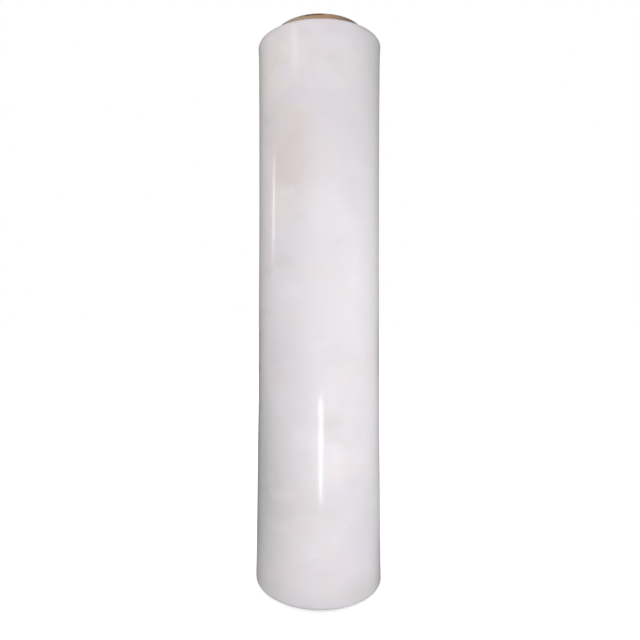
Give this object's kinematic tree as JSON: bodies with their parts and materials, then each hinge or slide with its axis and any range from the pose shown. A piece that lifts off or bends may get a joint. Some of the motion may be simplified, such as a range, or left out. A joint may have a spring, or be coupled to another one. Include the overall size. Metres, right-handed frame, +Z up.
{
  "type": "stretch wrap roll",
  "caption": "Upright roll of milky clear stretch film, slightly waisted with banded end faces, wound on a brown paperboard core that stands out at both ends.",
  "frame": {"origin": "centre of the core's lower cut end, in the plane that the roll stands on", "axes": "+Z up along the roll's axis; +X and +Y lie in the standing plane, with the film's free edge at 128 degrees from +X, turning towards +Y"},
  "size_m": [0.1165, 0.1165, 0.5175],
  "materials": {
    "paperboard": "matt brown kraft paperboard",
    "stretch_film": "glossy, milky clear film"
  },
  "bodies": {
    "root": {"core": "paperboard", "film_roll": "stretch_film"}
  },
  "joints": []
}
